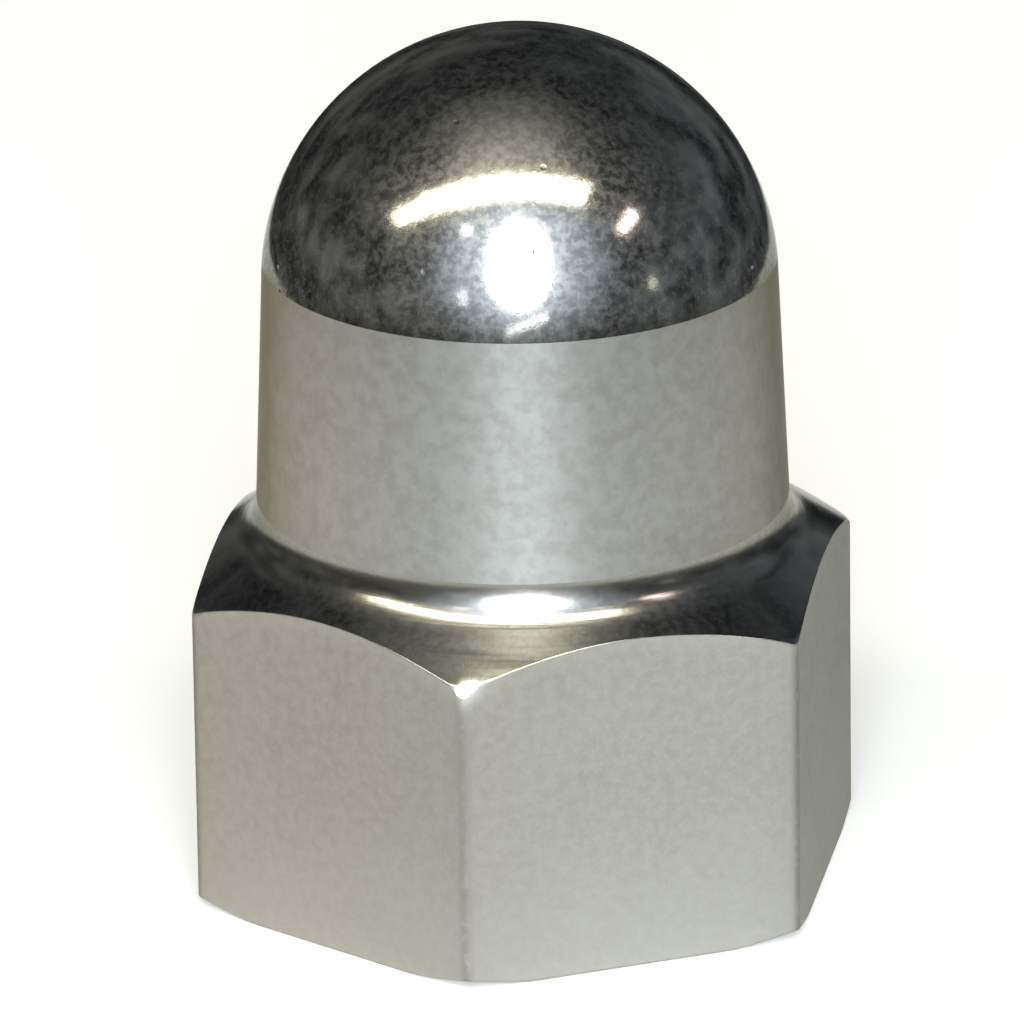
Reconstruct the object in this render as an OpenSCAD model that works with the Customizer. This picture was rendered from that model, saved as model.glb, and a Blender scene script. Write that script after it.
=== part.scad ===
// Domed axle nut, turned, drilled and tapped from one piece of hexagon bar and bright plated.
// The bearing face lies on the XY plane, the thread runs along the Z axis and the dome points up.
// Two corners of the hexagon lie on the X axis, and two flats face along the Y axis.
// All lengths are in millimetres and all angles in degrees.

/* [Hexagon] */
// Width across the flats, which is the spanner size
across_flats = 15; // [14:0.5:19]
// Height of the upper ends of the six corner edges above the bearing face
corner_h = 7.8; // [5:0.05:9]
// Slope of the turned shoulder above the corners, from the level
shoulder_slope = 33; // [15:1:40]
// Height of the turned chamfer under the six corners
foot_chamfer_h = 0.3; // [0.1:0.05:0.8]
// Slope of the chamfer under the corners, from the level
foot_chamfer_slope = 21; // [15:1:45]

/* [Neck] */
// Diameter of the neck at its upper rim, where the dome starts
neck_rim_d = 12.6; // [11.5:0.1:13]
// Height of the neck's upper rim above the bearing face
neck_rim_h = 15.9; // [13:0.1:20]
// Taper of the neck's wall, from upright
neck_draft = 2.4; // [0:0.1:4]
// Radius of the hollow fillet between the shoulder and the neck
fillet_r = 1.3; // [0.4:0.1:2]

/* [Dome] */
// Height of the dome above the neck's rim
dome_h = 5.7; // [3:0.1:6]

/* [Tapped hole] */
// Nominal diameter of the axle's thread
thread_d = 10; // [8:0.5:10.5]
// Pitch of the axle's thread
thread_pitch = 1; // [0.75:0.25:1.25]
// How far the countersunk mouth stands outside the thread, on each side
mouth_margin = 0.3; // [0.1:0.05:0.8]
// Full angle of the countersink at the mouth
mouth_angle = 90; // [60:5:120]
// Full angle of the drill's point at the closed end
drill_point_angle = 118; // [90:1:140]
// Thickness of the crown between the drill's point and the top of the dome
crown_t = 3.8; // [2:0.1:6]

/* [Hidden] */

$fn = 96;
hexagon_sides = 6;
plating_colour = "silver";

// How far a cutting shape or the bar runs past the surface that it cuts or fills
overrun = 1;
// How far the fillet's circle dips under the neck's and the shoulder's lines, to cross both cleanly
fillet_dip = 0.002;

// Hexagon: the circle through its corners, and the circle that the foot chamfer leaves on the bearing face
corner_r = across_flats / 2 / cos(180 / hexagon_sides);
foot_r = corner_r - foot_chamfer_h / tan(foot_chamfer_slope);

// Neck and dome: the dome is a cap of a ball that stands on the neck's rim
neck_rim_r = neck_rim_d / 2;
dome_r = (neck_rim_r ^ 2 + dome_h ^ 2) / (2 * dome_h);
nut_h = neck_rim_h + dome_h;
dome_centre_h = nut_h - dome_r;

// Outward directions of the tapered neck and of the sloping shoulder in the turned outline
neck_normal = [cos(neck_draft), sin(neck_draft)];
shoulder_normal = [sin(shoulder_slope), cos(shoulder_slope)];

// The fillet's centre stands one radius, less the dip, off both the neck's line and the shoulder's line
fillet_stand_off = fillet_r - fillet_dip;
fillet_centre = lines_meet(
    neck_normal, neck_normal * [neck_rim_r, neck_rim_h] + fillet_stand_off,
    shoulder_normal, shoulder_normal * [corner_r, corner_h] + fillet_stand_off
);
neck_foot = fillet_centre - fillet_stand_off * neck_normal;
shoulder_head = fillet_centre - fillet_stand_off * shoulder_normal;

// Tapped hole: the wall stands at the thread's minor diameter, five eighths of the sharp thread's height in
thread_depth_share = 5 / 8 * sqrt(3) / 2;
hole_r = thread_d / 2 - thread_depth_share * thread_pitch;
mouth_r = thread_d / 2 + mouth_margin;
mouth_depth = (mouth_r - hole_r) / tan(mouth_angle / 2);
drill_point_h = hole_r / tan(drill_point_angle / 2);
hole_depth = nut_h - crown_t - drill_point_h;

// The point where two lines meet, each given by its normal and its distance from the origin along it
function lines_meet(normal_a, distance_a, normal_b, distance_b) =
    let (area = normal_a.x * normal_b.y - normal_a.y * normal_b.x)
    [
        (distance_a * normal_b.y - distance_b * normal_a.y) / area,
        (normal_a.x * distance_b - normal_b.x * distance_a) / area
    ];

// Half section of the dome above the neck's rim
module dome_section() {
    intersection() {
        translate([0, dome_centre_h]) circle(r = dome_r);
        translate([0, neck_rim_h]) square([neck_rim_r + overrun, dome_h + overrun]);
    }
}

// Half section of the turned form, with the dome on the neck's rim and the hollow fillet cut out
module turned_section() {
    difference() {
        union() {
            polygon([
                [0, 0],
                [foot_r, 0],
                [corner_r, foot_chamfer_h],
                [corner_r, corner_h],
                shoulder_head,
                neck_foot,
                [neck_rim_r, neck_rim_h],
                [0, nut_h]
            ]);
            dome_section();
        }
        translate(fillet_centre) circle(r = fillet_r);
    }
}

// The hexagon bar that the nut is turned from
module hexagon_bar() {
    translate([0, 0, -overrun]) cylinder(r = corner_r, h = nut_h + 2 * overrun, $fn = hexagon_sides);
}

// The blind hole: countersunk mouth, wall at the minor diameter and the drill's point at the closed end
module tapped_hole() {
    translate([0, 0, -overrun]) cylinder(r = hole_r, h = hole_depth + overrun);
    translate([0, 0, hole_depth]) cylinder(r1 = hole_r, r2 = 0, h = drill_point_h);
    cylinder(r1 = mouth_r, r2 = hole_r, h = mouth_depth);
}

module axle_nut() {
    color(plating_colour)
    difference() {
        intersection() {
            hexagon_bar();
            rotate_extrude() turned_section();
        }
        tapped_hole();
    }
}

axle_nut();
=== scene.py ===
# %% [markdown]
# # A domed axle nut
# This nut screws on the end of a wheel's axle. It is turned from hexagon bar: a hexagon for the
# spanner, a sloping shoulder, a tall neck and a closed dome that covers the axle's end. Then it is
# bright plated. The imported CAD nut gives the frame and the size, and this lesson builds the nut that
# is looked at: the same form, with the small roundings, the cut thread and the finishes added.

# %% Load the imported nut
import math

import bmesh
import bpy
import numpy as np
from mathutils import Matrix, Vector


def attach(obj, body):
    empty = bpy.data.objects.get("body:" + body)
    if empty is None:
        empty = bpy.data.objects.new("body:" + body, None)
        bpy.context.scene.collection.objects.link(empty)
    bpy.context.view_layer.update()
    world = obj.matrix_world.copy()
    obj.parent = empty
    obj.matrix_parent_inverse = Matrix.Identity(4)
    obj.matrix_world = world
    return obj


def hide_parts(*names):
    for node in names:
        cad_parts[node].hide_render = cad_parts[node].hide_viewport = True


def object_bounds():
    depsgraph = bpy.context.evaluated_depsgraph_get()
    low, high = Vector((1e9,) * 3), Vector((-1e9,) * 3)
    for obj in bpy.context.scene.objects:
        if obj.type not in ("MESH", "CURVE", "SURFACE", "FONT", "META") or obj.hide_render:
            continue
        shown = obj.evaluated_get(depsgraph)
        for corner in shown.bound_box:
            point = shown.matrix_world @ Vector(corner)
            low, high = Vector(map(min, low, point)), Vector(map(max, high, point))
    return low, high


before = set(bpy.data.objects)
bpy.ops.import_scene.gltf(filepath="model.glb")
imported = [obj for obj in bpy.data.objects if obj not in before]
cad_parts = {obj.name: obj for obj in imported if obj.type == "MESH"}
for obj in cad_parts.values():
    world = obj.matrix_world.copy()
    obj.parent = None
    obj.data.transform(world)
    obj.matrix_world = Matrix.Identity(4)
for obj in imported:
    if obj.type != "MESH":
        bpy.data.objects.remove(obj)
cad_low, cad_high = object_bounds()
scene = bpy.context.scene
scene.view_settings.view_transform = "Standard"
print("CAD nut from", [round(v, 5) for v in cad_low], "to", [round(v, 5) for v in cad_high])

# %% [markdown]
# ## The drawing's numbers
# A turner works from a drawing, and so does the mesh. The lengths are in millimetres, as on the
# drawing, and only the finished points are turned into metres. The dome is a cap of a ball on the
# neck's rim. The hole's wall stands at the thread's minor radius before the thread is cut.

# %% The drawing's numbers
MM = 0.001
CORNERS = 6
across_flats = 15.0
corner_height = 7.8
shoulder_slope = math.radians(33)
foot_chamfer_height = 0.3
foot_chamfer_slope = math.radians(21)
neck_rim_radius = 6.3
neck_rim_height = 15.9
neck_draft = math.radians(2.4)
hollow_radius = 1.3
dome_height = 5.7
thread_radius = 5.0
thread_pitch = 1.0
thread_depth_share = 5 / 8 * math.sqrt(3) / 2
mouth_margin = 0.3
drill_half_angle = math.radians(59)
crown_thickness = 3.8

half_sector = math.pi / CORNERS
flat_distance = across_flats / 2
corner_radius = flat_distance / math.cos(half_sector)
foot_radius = corner_radius - foot_chamfer_height / math.tan(foot_chamfer_slope)
nut_height = neck_rim_height + dome_height
dome_radius = (neck_rim_radius ** 2 + dome_height ** 2) / (2 * dome_height)
dome_centre = nut_height - dome_radius
thread_depth = thread_depth_share * thread_pitch
hole_radius = thread_radius - thread_depth
mouth_radius = thread_radius + mouth_margin
drill_point_height = hole_radius / math.tan(drill_half_angle)
hole_depth = nut_height - crown_thickness - drill_point_height
drawn_size = Vector((2 * corner_radius, across_flats, nut_height)) * MM
differences = [round(v / MM, 4) for v in drawn_size - (cad_high - cad_low)]
print("drawing and CAD differ by", differences, "mm")

# %% [markdown]
# ## The camera
# The photograph is a close product shot: a long lens, a little above the nut, with one corner of the
# hexagon turned slightly to the left. The distance and the angles were fitted to the outline of the
# nut. A camera can be aimed with a constraint, but here its three axes are written down directly, so
# that the small roll of the picture is kept.

# %% The camera
view_azimuth = math.radians(-19.75)
view_elevation = math.radians(20.75)
view_roll = math.radians(0.81)
view_distance = 300.0
pixels_per_mm = 40.63
picture_side = 1024
sensor_width = 36.0
aim_height = 9.0
aim_pixel = (523.2, 519.8)
nearest_seen = 0.01
farthest_seen = 10.0

level_right = Vector((math.cos(view_azimuth), math.sin(view_azimuth), 0))
level_toward = Vector((math.sin(view_azimuth), -math.cos(view_azimuth), 0))
level_up = Vector((0, 0, 1))
view_back = level_toward * math.cos(view_elevation) + level_up * math.sin(view_elevation)
upright = level_up * math.cos(view_elevation) - level_toward * math.sin(view_elevation)
camera_right = level_right * math.cos(view_roll) - upright * math.sin(view_roll)
camera_up = level_right * math.sin(view_roll) + upright * math.cos(view_roll)
camera_axes = Matrix((camera_right, camera_up, view_back)).transposed()
off_right, off_down = [(pixel - picture_side / 2) / pixels_per_mm for pixel in aim_pixel]
aim = level_up * aim_height - camera_right * off_right + camera_up * off_down

camera = bpy.data.objects.new("camera", bpy.data.cameras.new("camera"))
scene.collection.objects.link(camera)
scene.camera = camera
camera.data.sensor_width = sensor_width
camera.data.lens = pixels_per_mm * view_distance * sensor_width / picture_side
camera.data.clip_start = nearest_seen
camera.data.clip_end = farthest_seen
camera.matrix_world = Matrix.Translation((aim + view_back * view_distance) * MM) @ camera_axes.to_4x4()
print(f"camera {view_distance:.0f} mm away with a {camera.data.lens:.0f} mm lens")

# %% [markdown]
# ## Columns round the nut
# The nut could be made from a cylinder and a few boolean cuts, but booleans leave long thin faces
# that shade badly on bright metal. A loft is cleaner: the same upright columns run round the whole
# nut, and each row is one step along its section. The columns stand closer at the six corners of the
# hexagon, because the bar's corners have a small rounding.

# %% Columns round the nut
corner_round = 0.25
corner_shares = (0.5, 1, 1.35)
beside_corner = math.radians(1.5)
column_step = math.radians(2.5)

sector = 2 * half_sector
corner_axis = (flat_distance - corner_round) / math.cos(half_sector)
corner_turn = math.atan2(
    corner_round * math.sin(half_sector), corner_axis + corner_round * math.cos(half_sector)
)
after_corner = [*(share * corner_turn for share in corner_shares), beside_corner]
along_flat = [column_step * step for step in range(1, round(sector / column_step))]
before_corner = [sector - angle for angle in reversed(after_corner)]
one_sector = [0, *after_corner, *along_flat, *before_corner]
columns = np.array([sector * corner + angle for corner in range(CORNERS) for angle in one_sector])
column_count = len(columns)


def hexagon_reach(angle):
    """How far the hexagon reaches from the axis in this direction, and the angle to its nearest corner."""
    from_corner = angle % sector
    from_corner = min(from_corner, sector - from_corner)
    if from_corner < corner_turn:
        off_axis = corner_axis * math.sin(from_corner)
        return corner_axis * math.cos(from_corner) + math.sqrt(corner_round ** 2 - off_axis ** 2), from_corner
    return flat_distance / math.cos(half_sector - from_corner), from_corner


reaches, corner_angles = np.array([hexagon_reach(angle) for angle in columns]).T
print(column_count, "columns")
print("the hexagon reaches from", round(reaches.min(), 3), "to", round(reaches.max(), 3), "mm")

# %% [markdown]
# ## The section, with every edge rounded
# Real edges are never sharp, and it is the thin bright line on a rounded edge that makes metal look
# solid. Each column is a line of corners with straight runs between them. A bevel modifier could round
# them, but one helper gives more say: it rounds each corner with an arc and puts a guard row on either
# side, so that the shading of the flat beside it stays flat. The hollow between shoulder and neck is
# only a corner with a large rounding.

# %% A helper that traces one column
run_share = 0.8
guard_distance = 0.03
guard_share = 0.2
least_guard = 0.004


def trace(start, corners, end):
    """The (radius, height) rows of a column, from its start to the guard row after its last corner.

    A corner is (point, rounding, (rows on the run before it, steps in its arc)).
    """
    stops = [np.array(stop, float) for stop in (start, *(corner[0] for corner in corners), end)]
    rows = [stops[0]]
    for i, (_, rounding, (run_rows, arc_steps)) in enumerate(corners, 1):
        back, ahead = stops[i - 1] - stops[i], stops[i + 1] - stops[i]
        back_length, ahead_length = np.linalg.norm(back), np.linalg.norm(ahead)
        back, ahead = back / back_length, ahead / ahead_length
        half = math.acos(np.clip(back @ ahead, -1, 1)) / 2
        reach = min(rounding / math.tan(half), run_share * back_length, run_share * ahead_length)
        bisector = (back + ahead) / np.linalg.norm(back + ahead)
        centre = stops[i] + bisector * reach / math.cos(half)
        first, last = stops[i] + back * reach, stops[i] + ahead * reach
        guard = min(guard_distance, guard_share * reach + least_guard)
        run_start = rows[-1]
        run = first + back * guard - run_start
        rows += [run_start + run * step / (run_rows + 1) for step in range(1, run_rows + 2)]
        sweep = math.pi - 2 * half
        for turn in np.linspace(0, sweep, arc_steps + 1):
            from_first = (first - centre) * math.sin(sweep - turn)
            from_last = (last - centre) * math.sin(turn)
            rows.append(centre + (from_first + from_last) / math.sin(sweep))
        rows.append(last + ahead * guard)
    return rows


square_corner = ((1, 0), 0.2, (2, 4))
print("a square corner becomes", len(trace((0, 0), [square_corner], (1, 1))), "rows")

# %% [markdown]
# ## The outside, from the mouth of the hole to the top of the dome
# The row count is the same in every column, so the rows join up all the way round. What changes from
# column to column is only how far the hexagon reaches. There the turned shoulder cuts the flats in
# the six arcs that any chamfered nut shows, lowest at the corners, and the tips there are worn rounder
# than the rest. Under the corners the foot has a small turned chamfer, and along the flats only a
# broken edge. A table gives each corner's rows: those on the run before it, and the steps of its arc.

# %% The outside rows
edge_break = 0.07
mouth_edge_round = 0.06
foot_edge_round = 0.09
shoulder_edge_round = 0.06
worn_tip_round = 0.3
worn_tip_angle = math.radians(1.8)
rim_round = 0.3
dome_rows = 40
mouth_ring_height = mouth_margin
corner_rows = {
    "mouth": (1, 3),
    "seat_rim": (6, 3),
    "foot": (1, 3),
    "flat_top": (16, 9),
    "hollow": (4, 16),
    "rim": (16, 3),
}

shoulder_normal = np.array((math.sin(shoulder_slope), math.cos(shoulder_slope)))
neck_normal = np.array((math.cos(neck_draft), math.sin(neck_draft)))
shoulder_line = shoulder_normal @ (corner_radius, corner_height)
neck_line = neck_normal @ (neck_rim_radius, neck_rim_height)
both_normals = np.array((shoulder_normal, neck_normal))
hollow_corner = np.linalg.solve(both_normals, np.array((shoulder_line, neck_line)))
rim_latitude = math.asin((neck_rim_height - dome_centre) / dome_radius)
dome_section = [
    np.array((dome_radius * math.cos(latitude), dome_centre + dome_radius * math.sin(latitude)))
    for latitude in np.linspace(rim_latitude, math.pi / 2, dome_rows + 1)[1:-1]
]


def outside_column(reach, corner_angle):
    """The rows of a column whose hexagon reaches this far, at this angle from its nearest corner."""
    at_tip = math.exp(-(corner_angle / worn_tip_angle) ** 2)
    flat_top_round = shoulder_edge_round + (worn_tip_round - shoulder_edge_round) * at_tip
    chamfer_top = foot_chamfer_height - (corner_radius - reach) * math.tan(foot_chamfer_slope)
    shoulder_edge = corner_height + (corner_radius - reach) * math.tan(shoulder_slope)
    corners = {
        "mouth": ((mouth_radius, 0), mouth_edge_round),
        "seat_rim": ((min(foot_radius, reach - edge_break), 0), foot_edge_round),
        "foot": ((reach, max(edge_break, chamfer_top)), foot_edge_round),
        "flat_top": ((reach, shoulder_edge), flat_top_round),
        "hollow": (hollow_corner, hollow_radius),
        "rim": ((neck_rim_radius, neck_rim_height), rim_round),
    }
    counted = [(*corners[name], counts) for name, counts in corner_rows.items()]
    return np.array(trace((thread_radius, mouth_ring_height), counted, dome_section[0]) + dome_section)


outside = np.array([outside_column(*pair) for pair in zip(reaches, corner_angles)])
row_count = outside.shape[1]
print(row_count, "rows outside, hollow corner at", np.round(hollow_corner, 3), "mm")

# %% [markdown]
# ## Which rows carry which finish
# The plating looks different where the metal under it was worked differently. The bearing face was
# faced on the lathe, the flats are the drawn bar's own skin, the shoulder and the dome were polished
# and the neck was left as turned. A finish ends at an edge, and the table of corners tells on which
# rows each edge lies, so no face has to be picked by hand.

# %% Finish of each row
FINISHES = ("polished_plating", "turned_neck", "drawn_flats", "faced_seat", "cut_thread")
POLISHED, TURNED, DRAWN, FACED, CUT = range(len(FINISHES))

# Each corner adds its run, a guard row, its arc and one more guard row
arc_starts, arc_ends = {}, {}
guard_row = 0
for corner, (run_rows, arc_steps) in corner_rows.items():
    arc_starts[corner] = guard_row + run_rows + 2
    arc_ends[corner] = arc_starts[corner] + arc_steps
    guard_row = arc_ends[corner] + 1

seat_row = arc_ends["mouth"]
flat_foot_row = arc_starts["seat_rim"] - 1
flat_top_row = arc_starts["flat_top"] - 1
shoulder_row = (arc_starts["flat_top"] + arc_ends["flat_top"]) // 2
hollow_row = arc_starts["hollow"] - 1
neck_row = arc_ends["hollow"]
rim_row = (arc_starts["rim"] + arc_ends["rim"]) // 2
first_rows = {
    seat_row: FACED,
    flat_foot_row: DRAWN,
    shoulder_row: POLISHED,
    neck_row: TURNED,
    rim_row: POLISHED,
}
row_finish = np.full(row_count, CUT)
for first_row, finish in first_rows.items():
    row_finish[first_row:] = finish
    print(FINISHES[finish], "from row", first_row, "at", round(outside[0, first_row, 1], 2), "mm")

# %% [markdown]
# ## A knocked tip
# The photograph has a bright spot on the tip of one corner. It is read here as a small knock, as on a
# nut that has been dropped: a flat facet that catches the light. A facet could be a boolean cut, but it
# is enough to say where its plane lies: each point of a column that stands outside the plane is brought
# in to it. The facet shines like the polished parts.

# %% Knocked tip
knocked_corner = math.radians(240)
knock_facing = math.radians(250)
knock_rise = math.radians(24)
knock_depth = 0.15
knock_width = math.radians(5)
knock_plane = (
    corner_radius * math.cos(knocked_corner - knock_facing) * math.cos(knock_rise)
    + corner_height * math.sin(knock_rise)
    - knock_depth
)
knock_rows = slice(flat_foot_row, hollow_row)
knocked = np.zeros(outside.shape[:2], bool)
for column in np.flatnonzero(abs(columns - knocked_corner) < knock_width):
    radii, heights = outside[column, knock_rows].T
    slant = math.cos(columns[column] - knock_facing) * math.cos(knock_rise)
    limits = (knock_plane - heights * math.sin(knock_rise)) / slant
    knocked[column, knock_rows] = radii > limits
    outside[column, knock_rows, 0] = np.minimum(radii, limits)
facet = knocked & np.roll(knocked, -1, axis=0) & np.roll(knocked, -1, axis=1)
outside_finish = np.tile(row_finish, (column_count, 1))
outside_finish[facet] = POLISHED
print(int(knocked.sum()), "points and", int(facet.sum()), "faces lie on the knocked tip")

# %% [markdown]
# ## The thread
# A thread could be a screw modifier on a small profile, but it would have to be cut out of the nut
# afterwards. Here the wall's rows simply climb like the thread itself: one pitch for each turn, with
# 16 rows to a pitch, so that every crest and root lies exactly on rows. Where the hole's mouth is
# countersunk the wider of cone and thread is kept, and at the closed end the tap's lead makes the
# thread shallower over its last two turns. The drill left its cone at the very end.

# %% The thread's rows
thread_turns = 13
lead_turns = 2
flank_shares = [0.2, 0.4, 0.6, 0.8]
thread_shares = [0, 0, 0, *flank_shares, 1, 1, 1, *reversed(flank_shares), 0, 0]
drill_corner_round = 0.12
drill_corner_rows = (3, 4)
drill_point_shares = (0.8, 0.55, 0.3, 0.1)

rows_per_turn = len(thread_shares)
row_climb = thread_pitch / rows_per_turn
threaded_length = thread_turns * thread_pitch
drill_tip = hole_depth + drill_point_height


def wall_radius(row, height):
    """Radius of the hole's wall on this climbing row, at this height above the ring in the mouth."""
    cut_depth = thread_depth * thread_shares[row % rows_per_turn]
    lead_share = (threaded_length - height) / (lead_turns * thread_pitch)
    lead_depth = thread_depth * min(1, max(0, lead_share))
    cone = mouth_radius - mouth_ring_height - height
    return max(hole_radius + min(cut_depth, lead_depth), cone)


def climbing_height(angle, row):
    """Height of a climbing row above the ring in the mouth, in this direction."""
    return (row + rows_per_turn * angle / (2 * math.pi)) * row_climb


drill_corner = ((hole_radius, hole_depth), drill_corner_round, drill_corner_rows)
closed_end = trace((hole_radius, mouth_ring_height + threaded_length), [drill_corner], (0, drill_tip))
for share in drill_point_shares:
    closed_end.append(np.array((hole_radius * share, drill_tip - drill_point_height * share)))
print(thread_turns, "turns of thread, then", len(closed_end), "rows to the drill's point")

# %% [markdown]
# ## Rings and faces
# All rows become the points of one mesh. The outside and the closed end of the hole are level rings
# with faces from ring to ring, and a fan of triangles closes each of them on the axis. Blender wants a
# face's corners counter-clockwise as seen from outside the metal, so inside the hole the rings are
# joined in the other order.

# %% Rings and faces
points, faces, finishes = [], [], []


def add_point(angle, radius, height):
    """Adds a point, in metres, and returns its number."""
    points.append((radius * math.cos(angle) * MM, radius * math.sin(angle) * MM, height * MM))
    return len(points) - 1


def add_ring(section):
    """Adds one level ring of points, a (radius, height) for each column, and returns their numbers."""
    return [add_point(angle, *spot) for angle, spot in zip(columns, section)]


def add_face(finish, *corners):
    """Adds a face between points, which are given by their numbers."""
    faces.append(corners)
    finishes.append(int(finish))


def join_rings(lower, upper, ring_finishes):
    """Faces between two rings, where upper comes after lower on the way from the hole to the dome."""
    for j in range(column_count):
        k = (j + 1) % column_count
        add_face(ring_finishes[j], lower[j], lower[k], upper[k], upper[j])


def close_ring(ring, height, finish, upward):
    """A fan from the last ring to a point on the axis."""
    tip = add_point(0, 0, height)
    for j in range(column_count):
        k = (j + 1) % column_count
        edge = (ring[j], ring[k]) if upward else (ring[k], ring[j])
        add_face(finish, *edge, tip)


outside_rings = [add_ring(outside[:, row]) for row in range(row_count)]
for row in range(row_count - 1):
    join_rings(outside_rings[row], outside_rings[row + 1], outside_finish[:, row])
close_ring(outside_rings[-1], nut_height, POLISHED, upward=True)

end_rings = [add_ring([section] * column_count) for section in closed_end]
for near, far in zip(end_rings, end_rings[1:]):
    join_rings(far, near, [CUT] * column_count)
close_ring(end_rings[-1], drill_tip, CUT, upward=False)
print(len(outside_rings), "rings outside and", len(end_rings), "at the closed end")

# %% [markdown]
# ## The thread joins the two ends
# The climbing rows run from the ring in the mouth to the first ring of the closed end. A row that
# starts below the mouth or ends above the closed end is cut off there, and small faces fill the steps
# that are left. After a full turn each row has climbed one pitch, and runs on as the row that starts
# there.

# %% The thread joins the two ends
TINY = 1e-7
mouth_ring, thread_end_ring = outside_rings[0], end_rings[0]
thread_rows = range(-rows_per_turn, thread_turns * rows_per_turn + 1)
climbing = {}
for j, angle in enumerate(columns):
    for row in thread_rows:
        climb = climbing_height(angle, row)
        if abs(climb) < TINY:
            climbing[j, row] = mouth_ring[j]
        elif abs(climb - threaded_length) < TINY:
            climbing[j, row] = thread_end_ring[j]
        elif 0 < climb < threaded_length:
            climbing[j, row] = add_point(angle, wall_radius(row, climb), mouth_ring_height + climb)
for row in thread_rows:
    if (0, row + rows_per_turn) in climbing:
        climbing[column_count, row] = climbing[0, row + rows_per_turn]

rows_at = [[] for _ in range(column_count + 1)]
for j, row in sorted(climbing):
    rows_at[j].append(row)
for j in range(column_count):
    k = (j + 1) % column_count
    for row in rows_at[j]:
        corners = [climbing.get(key) for key in ((j, row), (j, row + 1), (j + 1, row + 1), (j + 1, row))]
        if None not in corners:
            add_face(CUT, *corners)
    lowest, highest = rows_at[j][0], rows_at[j + 1][-1]
    low_corners = [mouth_ring[j], climbing[j, lowest], climbing[j + 1, lowest], mouth_ring[k]]
    high_corners = [climbing[j, highest], thread_end_ring[j], thread_end_ring[k], climbing[j + 1, highest]]
    for corners in (low_corners, high_corners):
        add_face(CUT, *dict.fromkeys(corners))
print(len(climbing), "points on the climbing rows")

# %% [markdown]
# ## One closed mesh
# Bright metal shows every mistake, so the finished mesh is tested. A closed mesh has two faces at every
# edge, and its volume is positive only if its faces look outward. All faces are shaded smooth, and only
# edges that turn by a large angle, such as the thread's, stay sharp.

# %% One closed mesh
sharp_edge_angle = math.radians(38)
nut_mesh = bpy.data.meshes.new("plated_nut")
nut_mesh.from_pydata(points, [], faces)
nut_mesh.polygons.foreach_set("material_index", finishes)
nut_mesh.polygons.foreach_set("use_smooth", [True] * len(faces))
nut_mesh.set_sharp_from_angle(angle=sharp_edge_angle)
nut = bpy.data.objects.new("plated_nut", nut_mesh)
scene.collection.objects.link(nut)

check = bmesh.new()
check.from_mesh(nut_mesh)
open_edges = sum(len(edge.link_faces) != 2 for edge in check.edges)
volume = check.calc_volume(signed=True) / MM ** 3
triangles = sum(len(face.verts) - 2 for face in check.faces)
check.free()
print(triangles, "triangles,", open_edges, "open edges,", round(volume, 1), "cubic millimetres")

# %% [markdown]
# ## Where the nut is worn, where the polish ends, and where shade and sheen are painted
# A spanner turns on the six corners of the hexagon and rubs the edges of the flats, and there the
# plating wears first. The polishing mop does not reach the hollow as well as the rest, and the
# plating is made darker near the dome's rim. The crease at the foot of the neck is duller and has
# painted shade, and the shoulder above the knocked tip is scuffed and has a painted sheen. Such places
# could be painted by hand.
# Here a number on each point says how much of them it has, and the finishes read it later.

# %% Marks on the points
corner_wear = 0.13
edge_rub = 0.2
hollow_share = 0.75
hollow_lead = 0.1
dull_from = 0.5
dull_full = 0.75
rim_blend = 1.4
scuff_sheen_turn = math.radians(11)
scuff_sheen_overrun = 3


def mark(name, rows, values):
    """Keeps a number on each point of some outside rows, and 0 on all other points."""
    marks = np.zeros((row_count, column_count))
    marks[rows] = values
    on_points = np.zeros(len(points))
    on_points[:marks.size] = marks.ravel()
    nut_mesh.attributes.new(name, "FLOAT", "POINT").data.foreach_set("value", on_points)
    print(name, "is more than one half on", int((marks > 0.5).sum()), "points")


row_heights = outside[:, :, 1].T
flat_rows = slice(flat_foot_row, flat_top_row + 1)
to_edge = np.minimum(row_heights[flat_top_row] - row_heights[flat_rows], row_heights[flat_rows])
mark("worn", flat_rows, np.exp(-(corner_angles * corner_radius / corner_wear) ** 2))
mark("rub", flat_rows, np.exp(-to_edge / edge_rub))

hollow_rows = slice(hollow_row, neck_row + 1)
up_hollow = np.linspace(0, 1, neck_row - hollow_row + 1)[:, None]
hollow_part = np.sin(np.pi * np.minimum(1, up_hollow / hollow_share + hollow_lead))
mark("hollow", hollow_rows, np.maximum(0, hollow_part))
# The foot of the neck is duller, and this mark also carries painted shade in the crease under the neck.
mark("neck_foot", hollow_rows, np.clip((up_hollow - dull_from) / (dull_full - dull_from), 0, 1))

rim_rows = slice(rim_row, row_count)
above_rim = row_heights[rim_rows] - neck_rim_height
mark("near_rim", rim_rows, np.maximum(0, 1 - above_rim / rim_blend) ** 2)

scuff_sheen_rows = slice(shoulder_row, hollow_row + scuff_sheen_overrun)
# This mark carries a scuff and also a painted sheen above the knocked tip.
mark("scuff_sheen", scuff_sheen_rows, np.exp(-((columns - knock_facing) / scuff_sheen_turn) ** 2))

# %% [markdown]
# ## Writing finishes as sums
# A finish is a tree of nodes. Building one by hand means a line for every node and every link, so two
# small classes take that over. A wire is a node's output, and sums on wires add Math nodes. A bench is
# a node tree, and its one method makes any other node from its kind, its settings and its inputs. The
# bench's other methods are short names for what the finishes of this nut need again and again.

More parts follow.
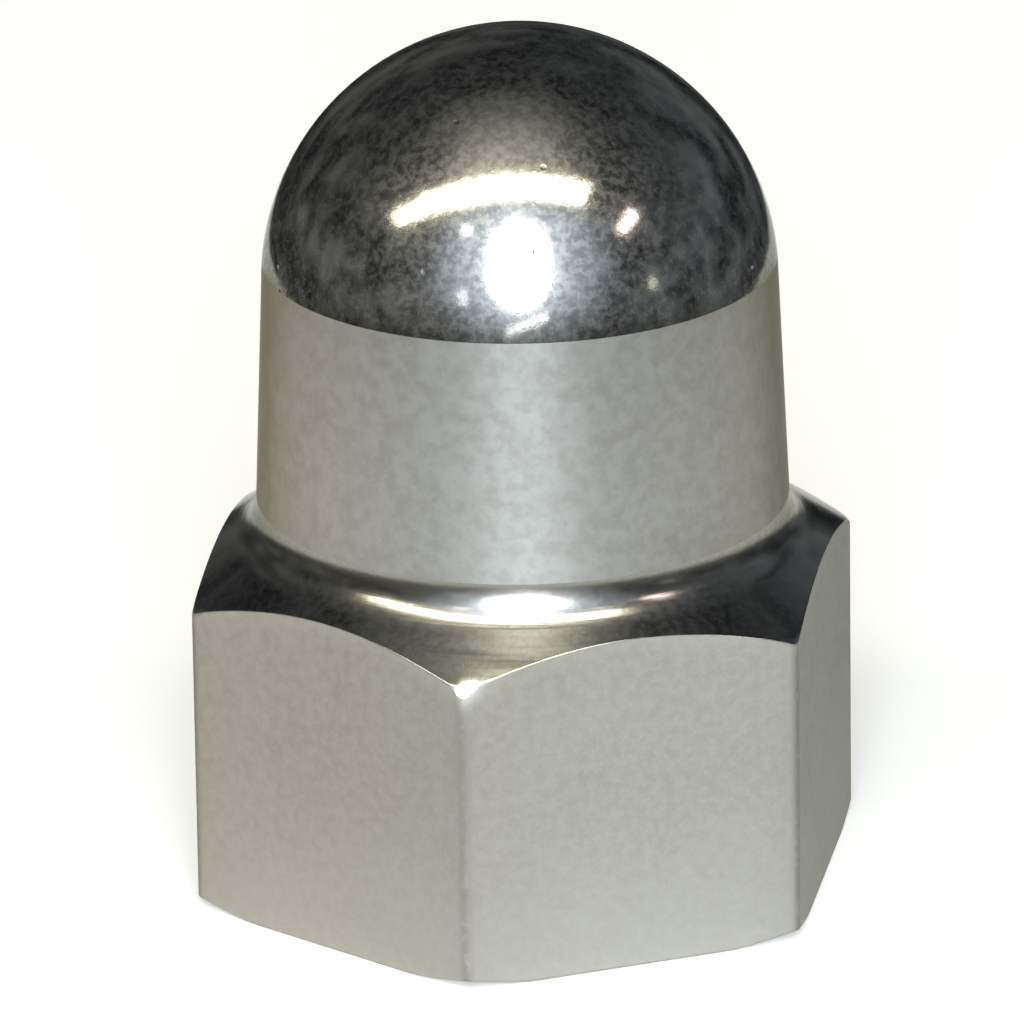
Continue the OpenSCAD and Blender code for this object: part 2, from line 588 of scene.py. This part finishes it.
# %% Wires
class Wire:
    """An output of a node. Sums on it add Math nodes to its bench."""

    def __init__(self, bench, socket):
        self.bench, self.socket = bench, socket

    def maths(self, operation, *values):
        return self.bench.node("Math", {"operation": operation}, dict(enumerate(values)))["Value"]

    def __add__(self, other):
        return self.maths("ADD", self, other)

    def __radd__(self, other):
        return self.maths("ADD", other, self)

    def __sub__(self, other):
        return self.maths("SUBTRACT", self, other)

    def __rsub__(self, other):
        return self.maths("SUBTRACT", other, self)

    def __mul__(self, other):
        return self.maths("MULTIPLY", self, other)

    def __rmul__(self, other):
        return self.maths("MULTIPLY", other, self)

    def __truediv__(self, other):
        return self.maths("DIVIDE", self, other)

    def __rtruediv__(self, other):
        return self.maths("DIVIDE", other, self)

    def __gt__(self, other):
        return self.maths("GREATER_THAN", self, other)

    def __abs__(self):
        return self.maths("ABSOLUTE", self)

    def at_least(self, other):
        return self.maths("MAXIMUM", self, other)

    def at_most(self, other):
        return self.maths("MINIMUM", self, other)


print("wires can be added, taken away, multiplied, divided and compared")

# %% [markdown]
# ## The bench
# The places on the nut are read in millimetres, because the sizes of grain and scratches are easier to
# judge that way. In the photograph the neck and the flats go from a warmer to a duller grey across the
# nut, so one method paints light and shade over a colour: warmer towards one side of the nut and
# darker towards the other. It is fixed to the nut, and its tints were fitted to the one side that is
# seen.

# %% The bench
class Bench:
    """A node tree to build on."""

    def __init__(self, tree):
        self.tree = tree
        tree.nodes.clear()

    def node(self, kind, settings=None, inputs=None):
        """Makes a node, sets its settings and then its inputs, and returns its outputs as wires by name."""
        made = self.tree.nodes.new("ShaderNode" + kind)
        for name, value in (settings or {}).items():
            setattr(made, name, value)
        for key, value in (inputs or {}).items():
            if isinstance(key, int):
                socket = made.inputs[key]
            else:
                socket = next(s for s in made.inputs if s.enabled and key in (s.name, s.identifier))
            if isinstance(value, Wire):
                self.tree.links.new(value.socket, socket)
            else:
                socket.default_value = value
        return {s.name: Wire(self, s) for s in made.outputs if s.enabled}

    def place(self, *stretch):
        """The point on the nut in millimetres, stretched along X, Y and Z."""
        spot = self.node("TexCoord")["Object"]
        scale = [share / MM for share in (stretch or (1, 1, 1))]
        return self.node("VectorMath", {"operation": "MULTIPLY"}, {0: spot, 1: scale})["Vector"]

    def along(self, place, direction):
        """How far a point lies along a direction."""
        return self.node("VectorMath", {"operation": "DOT_PRODUCT"}, {0: place, 1: direction})["Value"]

    def height(self):
        """The height of the point on the nut in millimetres."""
        return self.node("SeparateXYZ", None, {"Vector": self.place()})["Z"]

    def marked(self, name):
        """The number that a mark keeps on the points."""
        return self.node("Attribute", {"attribute_name": name})["Fac"]

    def noise(self, place, scale, detail=2, roughness=0.5):
        """A cloudy pattern from 0 to 1. With a place in millimetres, scale is in lumps per millimetre."""
        inputs = {"Vector": place, "Scale": scale, "Detail": detail, "Roughness": roughness}
        return self.node("TexNoise", None, inputs)["Fac"]

    def ease(self, value, low, high):
        """0 at low, 1 at high, and a smooth change between them."""
        inputs = {"Value": value, "From Min": low, "From Max": high}
        return self.node("MapRange", {"interpolation_type": "SMOOTHSTEP"}, inputs)["Result"]

    def tint(self, mask, low, high):
        """A colour that goes from low to high with the mask."""
        inputs = {"Factor": mask}
        for key, colour in (("A", low), ("B", high)):
            inputs[key + "_Color"] = colour if isinstance(colour, Wire) else (*colour, 1)
        return self.node("Mix", {"data_type": "RGBA"}, inputs)["Result"]

    def painted_side_shade(self, colour, middle, *sides):
        """The colour under painted light and shade, with one tint in the middle and others at the nut's
        sides.

        A side is (millimetres across where it starts, where it is full, tint).
        """
        # Painted light and shade: the tints make one side of the nut warmer and the other darker.
        across = self.along(self.place(), level_right)
        side_shade_tint = middle
        for start, full, side in sides:
            side_shade_tint = self.tint(self.ease(across, start, full), side_shade_tint, side)
        inputs = {"Factor": 1.0, "A_Color": colour, "B_Color": side_shade_tint}
        return self.node("Mix", {"data_type": "RGBA", "blend_type": "MULTIPLY"}, inputs)["Result"]

    def relief(self, height):
        """The bent normal of a surface with this height in millimetres."""
        return self.node("Bump", None, {"Height": height, "Distance": MM, "Strength": 1.0})["Normal"]

    def metal(self, colour, roughness, normal, edge, along=0.0, turn=0.0):
        """A metal. edge tints it at a slant, and along and turn stretch its shine."""
        inputs = {"Base Color": colour, "Roughness": roughness, "Normal": normal, "Metallic": 1.0}
        inputs.update({"Specular Tint": (*edge, 1), "Anisotropic": along, "Anisotropic Rotation": turn})
        return self.node("BsdfPrincipled", None, inputs)["BSDF"]

    def mix(self, share, first, second):
        """A shader that goes from first to second with the share."""
        return self.node("MixShader", None, {0: share, 1: first, 2: second})["Shader"]

    def surface(self, shader):
        """Puts the shader on the material."""
        self.node("OutputMaterial", None, {"Surface": shader})


def new_finish(name):
    """A new material on an empty bench."""
    material = bpy.data.materials.new(name)
    material.use_nodes = True
    return material, Bench(material.node_tree)


print("a bench is ready for", len(FINISHES), "finishes")

# %% [markdown]
# ## What lies in the polish
# Polishing leaves a mirror, but not a perfect one. The plating follows the faint waves of the metal, the
# finest scratches hang in it as specks of haze, and a few pinholes show where the bath did not cover.
# In the hollow the tool's rings are still there, and streaks run through the scuffed shoulder above the
# knocked tip, which also has a painted sheen. A painted picture could show all that, but noise has no
# seams and needs no file.

# %% Patterns in the polish
polished, bench = new_finish("polished_plating")
polish_place = bench.place()
waves = bench.noise(polish_place, scale=0.9, detail=1)
cloud = bench.noise(polish_place, scale=0.4, detail=3, roughness=0.6)
specks = bench.ease(bench.noise(polish_place, scale=5.0, detail=3, roughness=0.65), low=0.35, high=0.65)
cells = bench.node("TexVoronoi", {"feature": "F1"}, {"Vector": polish_place, "Scale": 1.3})
chance = bench.node("SeparateColor", None, {"Color": cells["Color"]})["Red"]
pinholes = (1 - bench.ease(cells["Distance"], low=0.03, high=0.12)) * (chance > 0.72)
in_hollow = bench.marked("hollow")
at_neck_foot = bench.marked("neck_foot")
at_rim = bench.marked("near_rim")
tool_rings = bench.noise(bench.place(0.12, 0.12, 9), scale=1.0, detail=2, roughness=0.5) * in_hollow
streak_noise = bench.noise(bench.place(0.15, 0.15, 5), scale=1.0, detail=2, roughness=0.6)
scuff_and_sheen = bench.marked("scuff_sheen") * bench.ease(streak_noise, low=0.3, high=0.62)
print(len(polished.node_tree.nodes), "nodes in the patterns")

# %% [markdown]
# ## Polished plating, on the dome, the shoulder and the hollow
# One roughness cannot be sharp and hazy at once, so two metals are mixed: a mirror, and a satin that
# spreads the light of the lamps round their reflections. The share of the satin varies in specks, and
# it is larger on the dome than on the shoulder. The plating is made duller beside the neck, at the
# dome's rim and at the top of the hollow, where the photograph shows no bright ring. Beside the neck
# its darker colour is painted shade in the crease, and above the knocked tip its whiter colour is a
# painted sheen.

# %% Polished plating
mirror_grey = (0.52, 0.52, 0.50)
light_mirror_grey = (0.60, 0.60, 0.59)
pinhole_brown = (0.16, 0.15, 0.13)
# Painted shade for the crease under the neck:
neck_foot_grey = (0.30, 0.29, 0.26)
rim_grey = (0.24, 0.235, 0.21)
# Painted sheen above the knocked tip:
painted_sheen_white = (1.0, 0.98, 0.85)
polished_edge = (0.5, 0.5, 0.48)
satin_roughness = 0.43
dome_foot, dome_full = 10.5, 12.5
wave_height = 0.006
speck_height = 0.0006
pinhole_depth = 0.008
tool_ring_height = 0.008

colour = bench.tint(cloud, mirror_grey, light_mirror_grey)
colour = bench.tint(pinholes * 0.6, colour, pinhole_brown)
# Painted shade: the crease at the foot of the neck is darker.
colour = bench.tint(at_neck_foot, colour, neck_foot_grey)
colour = bench.tint(at_rim, colour, rim_grey)
# Painted sheen: a whiter colour above the knocked tip stands in for the lamps' reflection there.
colour = bench.tint(scuff_and_sheen, colour, painted_sheen_white)
waviness = waves * wave_height + specks * speck_height
normal = bench.relief(waviness - pinholes * pinhole_depth + tool_rings * tool_ring_height)
mirror_roughness = cloud * 0.08 + pinholes * 0.2 + in_hollow * 0.1 + at_neck_foot * 0.1 + 0.07
mirror = bench.metal(colour, mirror_roughness, normal, polished_edge)
satin = bench.metal(colour, satin_roughness, normal, polished_edge)
on_dome = bench.ease(bench.height(), dome_foot, dome_full)
satin_share = (specks * 0.25 + cloud * 0.07) * (on_dome * 0.5 + 0.5) + scuff_and_sheen * 0.5
bench.surface(bench.mix(satin_share, mirror, satin))
print(len(polished.node_tree.nodes), "nodes in the polished plating")

# %% [markdown]
# ## The turned neck
# The lathe's tool left fine rings round the neck. They spread a reflection up and down but hardly
# sideways, which is why the lamp becomes one tall soft streak. Blender's anisotropic shine follows the
# axis by itself, and a quarter turn makes it cross the rings. The rings are also a height, and a fine
# grain lies over them. Painted light and shade goes over the colour: a cooler middle, warmer towards
# one side of the nut and darker towards the other.

# %% Turned neck
neck_grey = (0.34, 0.325, 0.29)
light_neck_grey = (0.40, 0.40, 0.375)
neck_grain_grey = (0.48, 0.48, 0.46)
# Painted light and shade across the neck: a cooler middle, a warmer side and a darker side.
neck_shade_middle = (0.92, 0.945, 0.99)
neck_shade_sides = ((-2.0, -6.0, (0.96, 0.90, 0.83)), (2.6, 6.2, (0.83, 0.82, 0.77)))
neck_edge = (0.34, 0.33, 0.29)
rough_foot, rough_end = 9.6, 12.0
neck_ring_height = 0.0012
neck_grain_height = 0.003

turned, bench = new_finish("turned_neck")
neck_rings = bench.noise(bench.place(0.12, 0.12, 11), scale=1.0, detail=3, roughness=0.65)
neck_patches = bench.noise(bench.place(), scale=0.7, detail=3, roughness=0.6)
neck_grain = bench.noise(bench.place(), scale=2.6, detail=3, roughness=0.65)
near_foot = 1 - bench.ease(bench.height(), rough_foot, rough_end)
colour = bench.tint(neck_patches, neck_grey, light_neck_grey)
colour = bench.tint(bench.ease(neck_grain, low=0.3, high=0.7) * 0.6, colour, neck_grain_grey)
# Painted light and shade across the neck.
colour = bench.painted_side_shade(colour, neck_shade_middle, *neck_shade_sides)
neck_roughness = neck_rings * 0.06 + neck_grain * 0.06 + 0.295 + near_foot * 0.04
normal = bench.relief(neck_rings * neck_ring_height + neck_grain * neck_grain_height)
bench.surface(bench.metal(colour, neck_roughness, normal, neck_edge, along=0.34, turn=0.25))
print(len(turned.node_tree.nodes), "nodes in the turned neck")

# %% [markdown]
# ## The drawn flats
# The flats are the skin of the drawn bar under the plating: an even satin with a fine grain and very
# faint lines along the bar. As in the photograph it is a little lighter towards the foot, a painted
# reflection of the pale floor, and painted light and shade goes over it: lighter in the middle, warmer
# towards one side of the nut and darker towards the other. A spanner has rubbed the edges of the flats
# smooth, and has worn the corners down to the darker metal. A picture of real steel could be wrapped
# round the nut, but a seam would show where it ends.

# %% Drawn flats
flat_grey = (0.31, 0.298, 0.262)
light_flat_grey = (0.375, 0.375, 0.348)
flat_grain_grey = (0.43, 0.43, 0.41)
# Painted reflection of the pale floor: the flats are lighter towards the foot.
floor_reflection_grey = (0.465, 0.475, 0.46)
rubbed_grey = (0.56, 0.55, 0.52)
worn_brown = (0.14, 0.13, 0.11)
# Painted light and shade across the flats: a lighter middle, a warmer side and a darker side.
flat_shade_middle = (1.03, 1.03, 1.04)
flat_shade_sides = ((3.0, -6.0, (1.0, 0.94, 0.90)), (5.0, 9.0, (0.86, 0.86, 0.83)))
flat_edge = (0.30, 0.30, 0.285)
floor_reflection_low, floor_reflection_high = 0.5, 5.0
flat_grain_height = 0.003
bar_line_height = 0.0012

drawn_flats, bench = new_finish("drawn_flats")
bar_lines = bench.noise(bench.place(9, 9, 0.25), scale=1.0, detail=3, roughness=0.6)
flat_grain = bench.noise(bench.place(), scale=3.6, detail=3, roughness=0.7)
flat_patches = bench.noise(bench.place(), scale=0.55, detail=3, roughness=0.6)
worn_corner = bench.marked("worn") * bench.ease(flat_grain, low=0.2, high=0.6)
rubbed_edge = bench.marked("rub")
# Painted reflection of the floor, strongest at the foot of the flats.
painted_floor_reflection = 1 - bench.ease(bench.height(), floor_reflection_low, floor_reflection_high)
colour = bench.tint(flat_patches, flat_grey, light_flat_grey)
colour = bench.tint(bench.ease(flat_grain, low=0.3, high=0.7) * 0.6, colour, flat_grain_grey)
colour = bench.tint(painted_floor_reflection * 0.35, colour, floor_reflection_grey)
# Painted light and shade across the flats.
colour = bench.painted_side_shade(colour, flat_shade_middle, *flat_shade_sides)
colour = bench.tint(rubbed_edge * 0.15, colour, rubbed_grey)
colour = bench.tint(worn_corner * 0.5, colour, worn_brown)
flat_roughness = flat_grain * 0.1 + flat_patches * 0.05 + 0.54 - rubbed_edge * 0.1
normal = bench.relief(flat_grain * flat_grain_height + bar_lines * bar_line_height)
bench.surface(bench.metal(colour, flat_roughness, normal, flat_edge, along=0.2))
print(len(drawn_flats.node_tree.nodes), "nodes in the drawn flats")

# %% [markdown]
# ## The faced seat
# The bearing face carries the rings of the facing cut, and the clamped washer has scuffed it. Rings
# round an axis are a pattern of one number only, the distance from that axis, so the noise is read
# along a line.

# %% Faced seat
seat_grey = (0.42, 0.41, 0.39)
light_seat_grey = (0.58, 0.57, 0.55)
inner_edge = (0.6, 0.6, 0.58)
rings_per_mm = 9
facing_ring_height = 0.004
washer_scuff_height = 0.002

faced, bench = new_finish("faced_seat")
from_axis = bench.node("VectorMath", {"operation": "LENGTH"}, {0: bench.place(1, 1, 0)})["Value"]
ring_line = bench.node("CombineXYZ", None, {"X": from_axis * rings_per_mm})["Vector"]
facing_rings = bench.noise(ring_line, scale=1.0, detail=3, roughness=0.6)
washer_scuffs = bench.noise(bench.place(), scale=1.4, detail=5, roughness=0.7)
colour = bench.tint(washer_scuffs, seat_grey, light_seat_grey)
normal = bench.relief(facing_rings * facing_ring_height + washer_scuffs * washer_scuff_height)
seat_roughness = facing_rings * 0.12 + washer_scuffs * 0.14 + 0.2
bench.surface(bench.metal(colour, seat_roughness, normal, inner_edge))
print(len(faced.node_tree.nodes), "nodes in the faced seat")

# %% [markdown]
# ## The cut thread
# In the hole the plating is thin, so the thread is darker and shows fine scratches along its turns. A
# noise that is pressed flat along the axis looks like them. All five finishes then go on the mesh, in
# the order in which its faces count them.

# %% Cut thread
thread_grey = (0.26, 0.25, 0.23)
light_thread_grey = (0.46, 0.45, 0.42)
scratch_depth = 0.002

cut, bench = new_finish("cut_thread")
scratches = bench.noise(bench.place(0.4, 0.4, 11), scale=1.0, detail=3, roughness=0.6)
thin_plating = bench.noise(bench.place(), scale=0.8, detail=4, roughness=0.6)
colour = bench.tint(thin_plating, thread_grey, light_thread_grey)
normal = bench.relief(scratches * scratch_depth)
thread_roughness = thin_plating * 0.2 + scratches * 0.1 + 0.18
bench.surface(bench.metal(colour, thread_roughness, normal, inner_edge))
for material in (polished, turned, drawn_flats, faced, cut):
    nut_mesh.materials.append(material)
print([material.name for material in nut_mesh.materials])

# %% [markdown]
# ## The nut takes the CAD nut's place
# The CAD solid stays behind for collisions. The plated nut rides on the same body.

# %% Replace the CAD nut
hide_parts("axle_nut")
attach(nut, "root")
print("plated nut rides on root")

# %% [markdown]
# ## The floor
# Seen from above, the flats and the neck mirror the floor, so it has to be pale and plain. It is a round
# sheet just larger than the picture needs, and the lowest part of the dome already sees past it. A
# little light of its own, for the camera and for what metal reflects, makes it as white as a product
# shot's paper. It is matt, so it keeps the nut's shadow.

# %% Floor
floor_radius = 0.07
floor_sides = 128
floor_drop = 0.00001
floor_white = (0.86, 0.86, 0.85, 1)
floor_lift = 0.3
pure_white = (1, 1, 1, 1)


def mesh_object(name, shape):
    """An object in the scene from a shape that is used up."""
    mesh = bpy.data.meshes.new(name)
    shape.to_mesh(mesh)
    shape.free()
    made = bpy.data.objects.new(name, mesh)
    scene.collection.objects.link(made)
    return made


def seen_rays(bench):
    """1 for rays from the camera and for rays that metal or glass sends on, 0 for all others."""
    path = bench.node("LightPath")
    return (path["Is Camera Ray"] + path["Is Glossy Ray"] + path["Is Transmission Ray"]).at_most(1)


sheet = bmesh.new()
bmesh.ops.create_circle(sheet, cap_ends=True, segments=floor_sides, radius=floor_radius)
floor = mesh_object("floor", sheet)
floor.location.z = -floor_drop

pale, bench = new_finish("pale_floor")
matt = bench.node("BsdfDiffuse", None, {"Color": floor_white})["BSDF"]
lift = bench.node("Emission", None, {"Color": pure_white, "Strength": floor_lift})["Emission"]
lifted = bench.node("AddShader", None, {0: matt, 1: lift})["Shader"]
bench.surface(bench.mix(seen_rays(bench), matt, lifted))
pale.cycles.emission_sampling = "NONE"
floor.data.materials.append(pale)
print("floor", floor_radius, "m in radius")

# %% [markdown]
# ## The room
# Bright metal is only as good as what it reflects, and the dome looks up into a dim room. A photograph
# of a room could light the scene, but a large ball with a few soft glows is enough: clutter low down on
# the walls, a warm ceiling beside the strip lamp and a cool patch round the soft box. Cameras see
# through the ball, so the background stays white.

# %% Room
room_radius = 1.5
room_columns, room_rows = 64, 32
least_rise = 0.12
ceiling_shift = 0.1
soft_box_height = math.radians(27)
soft_box_direction = level_toward * math.cos(soft_box_height) + level_up * math.sin(soft_box_height)
dark_room = (0.008, 0.009, 0.012)
left_clutter = (0.185, 0.185, 0.17)
right_clutter = (0.18, 0.205, 0.21)
ceiling_glow = (0.50, 0.48, 0.385)
soft_box_glow = (0.5, 0.56, 0.64)

ball = bmesh.new()
bmesh.ops.create_uvsphere(ball, u_segments=room_columns, v_segments=room_rows, radius=room_radius)
room = mesh_object("room", ball)
room.visible_camera = False

dim, bench = new_finish("dim_room")
wall_place = bench.node("TexCoord")["Object"]
to_right, to_front, to_top, to_soft_box = [
    bench.along(wall_place, direction / room_radius)
    for direction in (level_right, level_toward, level_up, soft_box_direction)
]
rise = to_top.at_least(least_rise)
forward = to_front / rise
off_centre = abs(to_right / rise + ceiling_shift)
near_strip = bench.ease(forward, low=-0.5, high=0.55) * (1 - bench.ease(forward, low=0.5, high=0.85))
in_middle = 1 - bench.ease(off_centre, low=0.1, high=0.65)
ceiling = near_strip * in_middle * bench.ease(to_top, low=0.1, high=0.4)
lumps = bench.ease(bench.noise(wall_place, scale=3.2, detail=3, roughness=0.65), low=0.36, high=0.7)
clutter = lumps * (1 - bench.ease(to_top, low=0.15, high=0.7) * 0.75)
glow = bench.tint(bench.ease(to_right, low=-0.5, high=0.5), left_clutter, right_clutter)
glow = bench.tint(clutter, dark_room, glow)
glow = bench.tint(ceiling, glow, ceiling_glow)
glow = bench.tint(bench.ease(to_soft_box, low=0.70, high=0.97), glow, soft_box_glow)
bench.surface(bench.node("Emission", None, {"Color": glow, "Strength": 1.0})["Emission"])
dim.cycles.emission_sampling = "NONE"
room.data.materials.append(dim)
print("room", room_radius, "m in radius, with", len(dim.node_tree.nodes), "nodes")

# %% [markdown]
# ## The lamps
# Each bright shape on the dome is a lamp, and where it lies tells where the lamp hangs. A soft box
# stands behind the camera, a long warm strip hangs level overhead and reaches to the left, and a small
# lamp hangs on the right. Three far lamps and a low card are only small lights on the metal. Together
# they light the floor at about the level at which a colour looks as it is written.

# %% Lamps
def hang_lamp(name, spot, back, sideways, size, radiance, colour, shape="RECTANGLE"):
    """An area lamp at a spot. It shines away from its back, with its width along the sideways direction."""
    lamp_data = bpy.data.lights.new(name, "AREA")
    lamp_data.shape = shape
    lamp_data.size, lamp_data.size_y = size
    area = size[0] * size[1] * (math.pi / 4 if shape == "ELLIPSE" else 1)
    lamp_data.energy = radiance * math.pi * area
    lamp_data.color = colour
    lamp = bpy.data.objects.new(name, lamp_data)
    back = back.normalized()
    side = (sideways - back * sideways.dot(back)).normalized()
    lamp_axes = Matrix((side, back.cross(side), back)).transposed()
    lamp.matrix_world = Matrix.Translation(spot) @ lamp_axes.to_4x4()
    scene.collection.objects.link(lamp)
    print(name, "gives", round(lamp_data.energy, 2), "W")


def room_spot(right, toward, up):
    """A place in the room, counted from the nut to the right, toward the camera and up."""
    return level_right * right + level_toward * toward + level_up * up


soft_box_distance = 0.8
soft_box_spot = soft_box_direction * soft_box_distance
hang_lamp(
    "soft_box", soft_box_spot, back=soft_box_spot, sideways=level_right,
    size=(0.375, 0.555), radiance=15.0, colour=(0.87, 0.95, 1.0), shape="ELLIPSE",
)

strip_height = 0.7
strip_shares = (2.1, 0.26)
hang_lamp(
    "ceiling_strip", room_spot(right=-0.45, toward=0.545, up=1) * strip_height, back=level_up,
    sideways=level_right, size=[share * strip_height for share in strip_shares],
    radiance=6.0, colour=(1.0, 0.91, 0.68),
)

small_lamp_height = 0.6
small_spot = room_spot(right=1.3, toward=0.72, up=1) * small_lamp_height
hang_lamp(
    "small_lamp", small_spot, back=small_spot, sideways=level_toward,
    size=(0.22, 0.07), radiance=6.0, colour=(1.0, 0.82, 0.72),
)

# %% [markdown]
# ## The far lamps and the low card
# These four are alike, so a table holds them: the direction to the lamp, how far it is tilted, its size,
# its radiance and its colour. The card stands low in front of the nut and is tilted. It gives the small
# slanting light at the foot of the dome.

# %% Far lamps and low card
far_distance = 0.9
far_lamps = [
    ("far_lamp_1", (-0.382, 0.665, 0.642), 0.0, (0.055, 0.07), 4.0, (1.0, 1.0, 1.0)),
    ("far_lamp_2", (-0.431, 0.88, 0.198), 0.0, (0.05, 0.1), 2.2, (0.85, 0.93, 1.0)),
    ("far_lamp_3", (0.871, 0.469, 0.147), 0.0, (0.065, 0.065), 1.3, (1.0, 0.95, 0.8)),
    ("low_card", (0.05, 0.998, 0.015), 0.4, (0.30, 0.055), 3.2, (0.95, 0.98, 1.0)),
]
for name, direction, tilt, size, radiance, lamp_colour in far_lamps:
    far_spot = room_spot(*direction) * far_distance
    hang_lamp(name, far_spot, far_spot, level_right + level_up * tilt, size, radiance, lamp_colour)

# %% [markdown]
# ## The surroundings
# Past the floor's edge the camera looks into the world, which is white there. All other rays end on the
# room's ball. If the ball is taken away, rays that only carry light get a mid grey from the world, so
# that the white background adds no light to the nut.

# %% Surroundings
mid_grey = (0.3, 0.3, 0.3, 1)
world = bpy.data.worlds.new("surroundings")
scene.world = world
world.use_nodes = True
bench = Bench(world.node_tree)
grey_sky = bench.node("Background", None, {"Color": mid_grey, "Strength": 1.0})["Background"]
white_sky = bench.node("Background", None, {"Color": pure_white, "Strength": 1.0})["Background"]
sky = bench.mix(seen_rays(bench), grey_sky, white_sky)
bench.node("OutputWorld", None, {"Surface": sky})
print(len(world.node_tree.nodes), "nodes in the surroundings")
